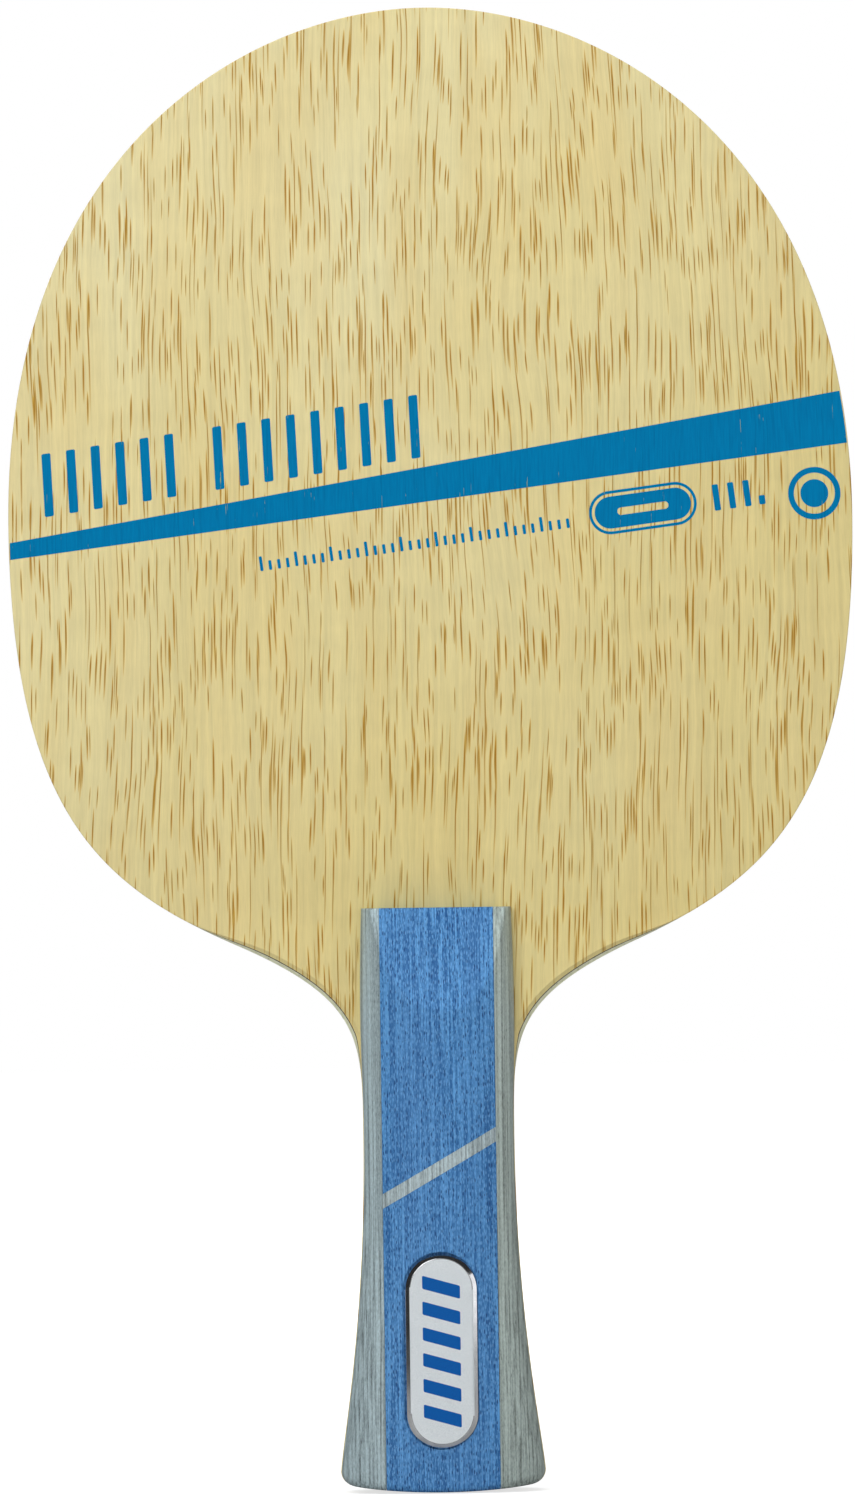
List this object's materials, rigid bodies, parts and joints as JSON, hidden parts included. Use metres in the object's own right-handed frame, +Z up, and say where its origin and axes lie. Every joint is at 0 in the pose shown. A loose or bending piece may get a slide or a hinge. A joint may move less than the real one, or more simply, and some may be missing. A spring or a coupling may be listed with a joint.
{
  "type": "table tennis paddle",
  "caption": "Bare table tennis blade: an oval laminated wood and carbon head with a flared handle of blue and grey dyed wood, and a metal badge.",
  "frame": {"origin": "middle of the handle's butt end, on the blade's mid-plane", "axes": "+Z up the blade from the butt to the top of the head, the front face looks towards -Y, +X to the right seen from the front"},
  "size_m": [0.148, 0.0259, 0.26],
  "materials": {
    "core_veneer": "sawn edge, lightly sanded",
    "inner_veneer": "sawn edge, lightly sanded",
    "carbon_fleece": "black resin-bonded carbon fleece",
    "outer_veneer": "pale yellow open-pored veneer with a satin seal and blue print on the front",
    "blue_dyed_wood": "dyed through, sanded, thin satin lacquer",
    "grey_dyed_wood": "dyed through, sanded, thin satin lacquer",
    "badge_metal": "satin face, polished bevel",
    "badge_adhesive": "foam adhesive pad"
  },
  "bodies": {
    "root": {"core_ply": "core_veneer", "inner_ply_front": "inner_veneer", "carbon_fleece_front": "carbon_fleece", "outer_ply_front": "outer_veneer", "front_upper_block": "blue_dyed_wood", "front_inlay": "grey_dyed_wood", "front_lower_block": "blue_dyed_wood", "front_left_strip": "grey_dyed_wood", "front_right_strip": "grey_dyed_wood", "inner_ply_back": "inner_veneer", "carbon_fleece_back": "carbon_fleece", "outer_ply_back": "outer_veneer", "back_upper_block": "blue_dyed_wood", "back_inlay": "grey_dyed_wood", "back_lower_block": "blue_dyed_wood", "back_left_strip": "grey_dyed_wood", "back_right_strip": "grey_dyed_wood", "badge_plate": "badge_metal", "badge_adhesive": "badge_adhesive"}
  },
  "joints": []
}
